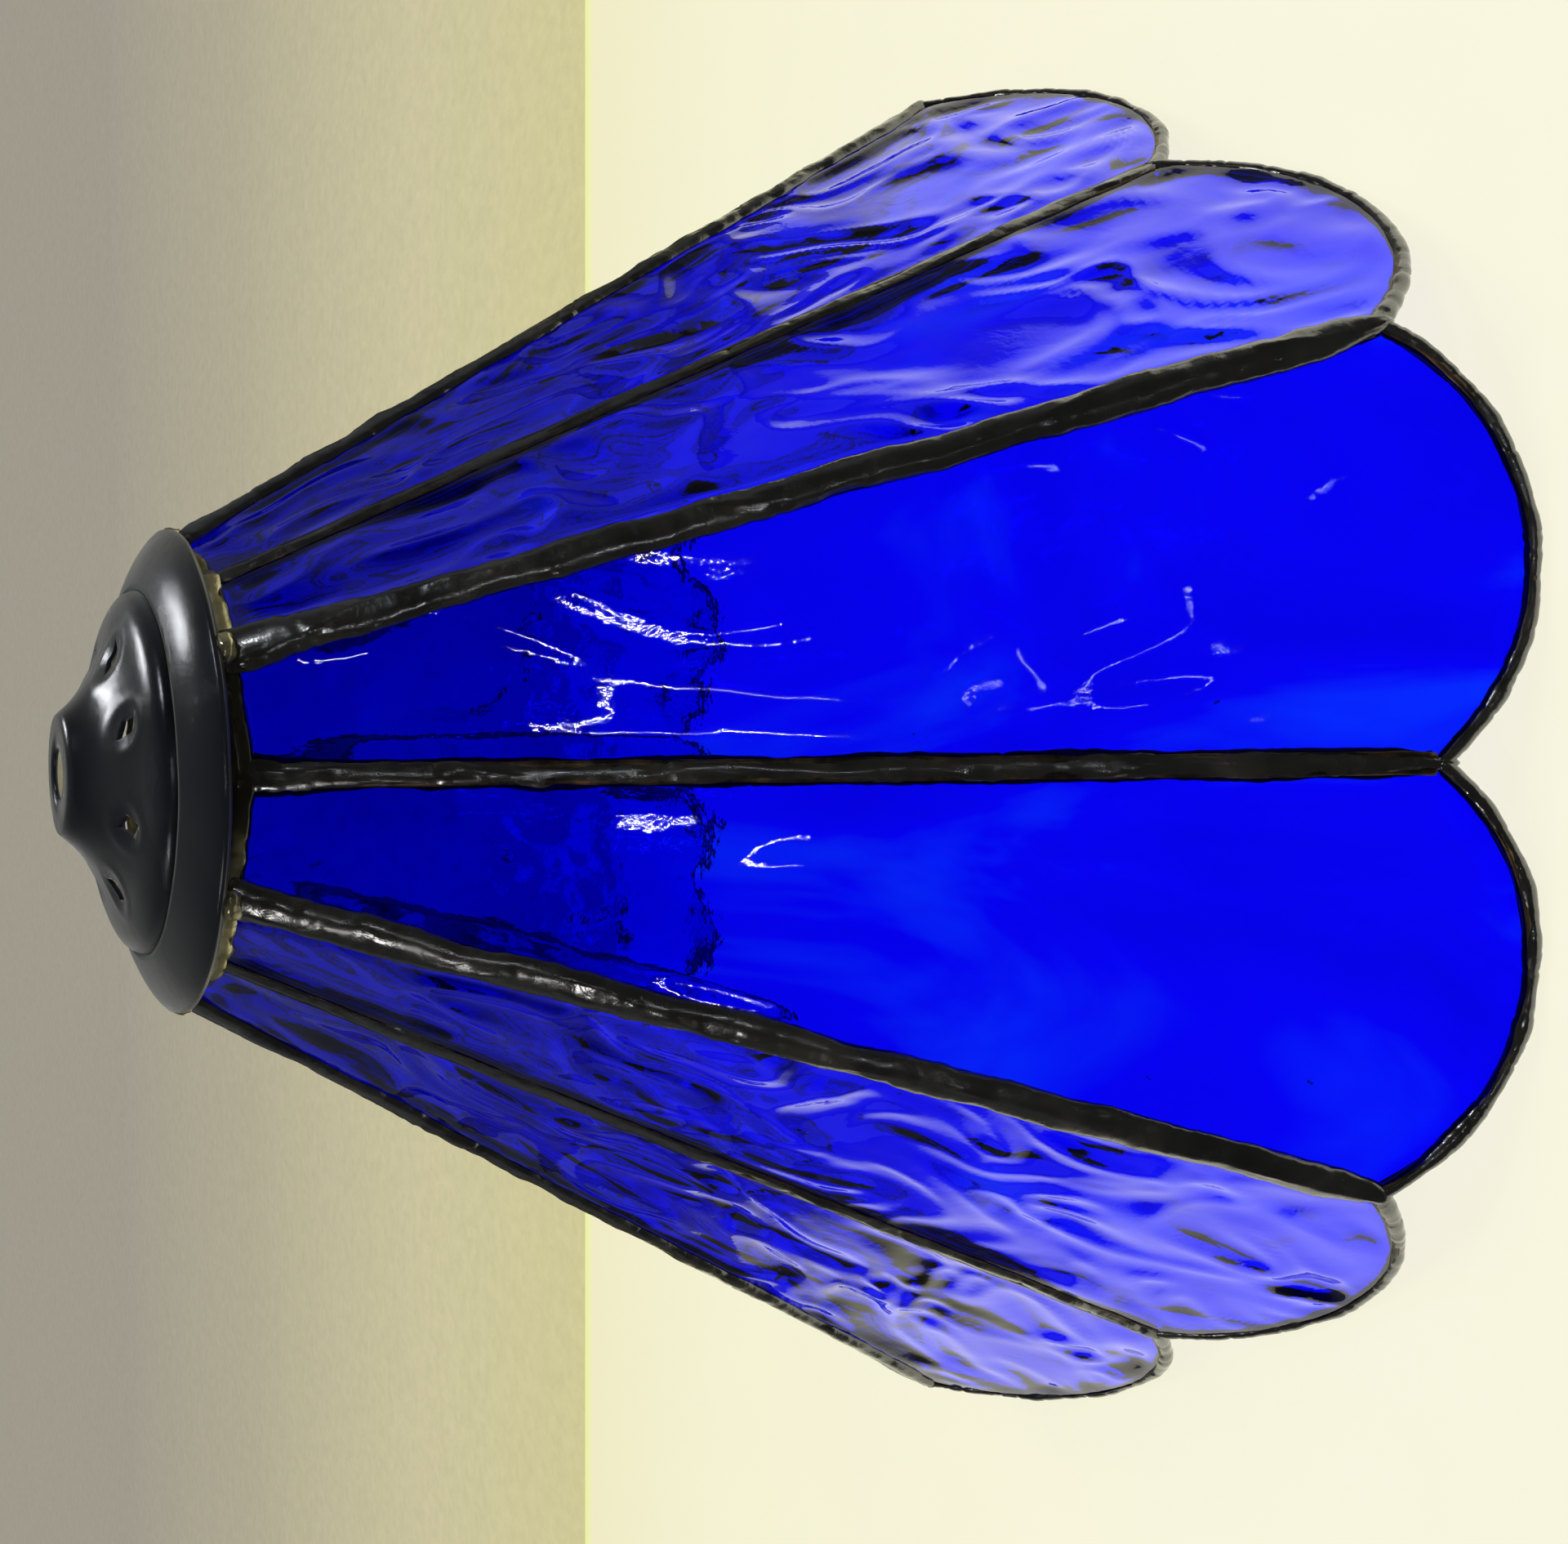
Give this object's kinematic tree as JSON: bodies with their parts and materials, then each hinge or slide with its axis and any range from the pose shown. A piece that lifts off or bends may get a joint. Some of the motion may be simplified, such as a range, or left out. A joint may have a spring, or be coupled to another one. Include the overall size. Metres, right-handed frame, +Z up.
{
  "type": "pool table lamp",
  "caption": "bare leaded-glass pendant shade in copper-foil work: flat cobalt petals with rounded tips, black solder seams and a black vented vase cap with a hanging hole",
  "frame": {"origin": "on the shade's axis, on the surface that the petal tips stand on", "axes": "+Z up through the cap's hole, -Y through the middle seam of one side, +X to the right seen from there"},
  "size_m": [0.3554, 0.337, 0.2494],
  "materials": {
    "cobalt_glass": "wavy, transparent",
    "foil": "blackened copper",
    "solder": "black patina, semi-gloss",
    "cap": "black patina, satin"
  },
  "bodies": {
    "root": {"petal_01": "cobalt_glass", "petal_02": "cobalt_glass", "petal_03": "cobalt_glass", "petal_04": "cobalt_glass", "petal_05": "cobalt_glass", "petal_06": "cobalt_glass", "petal_07": "cobalt_glass", "petal_08": "cobalt_glass", "petal_09": "cobalt_glass", "petal_10": "cobalt_glass", "petal_11": "cobalt_glass", "petal_12": "cobalt_glass", "foil_wrap_01": "foil", "foil_wrap_02": "foil", "foil_wrap_03": "foil", "foil_wrap_04": "foil", "foil_wrap_05": "foil", "foil_wrap_06": "foil", "foil_wrap_07": "foil", "foil_wrap_08": "foil", "foil_wrap_09": "foil", "foil_wrap_10": "foil", "foil_wrap_11": "foil", "foil_wrap_12": "foil", "tip_bead_01": "solder", "tip_bead_02": "solder", "tip_bead_03": "solder", "tip_bead_04": "solder", "tip_bead_05": "solder", "tip_bead_06": "solder", "tip_bead_07": "solder", "tip_bead_08": "solder", "tip_bead_09": "solder", "tip_bead_10": "solder", "tip_bead_11": "solder", "tip_bead_12": "solder", "middle_seam_1": "solder", "corner_seam_1": "solder", "middle_seam_2": "solder", "corner_seam_2": "solder", "middle_seam_3": "solder", "corner_seam_3": "solder", "middle_seam_4": "solder", "corner_seam_4": "solder", "middle_seam_5": "solder", "corner_seam_5": "solder", "middle_seam_6": "solder", "corner_seam_6": "solder", "top_ring": "solder", "cap_solder": "solder", "vase_cap": "cap"}
  },
  "joints": []
}
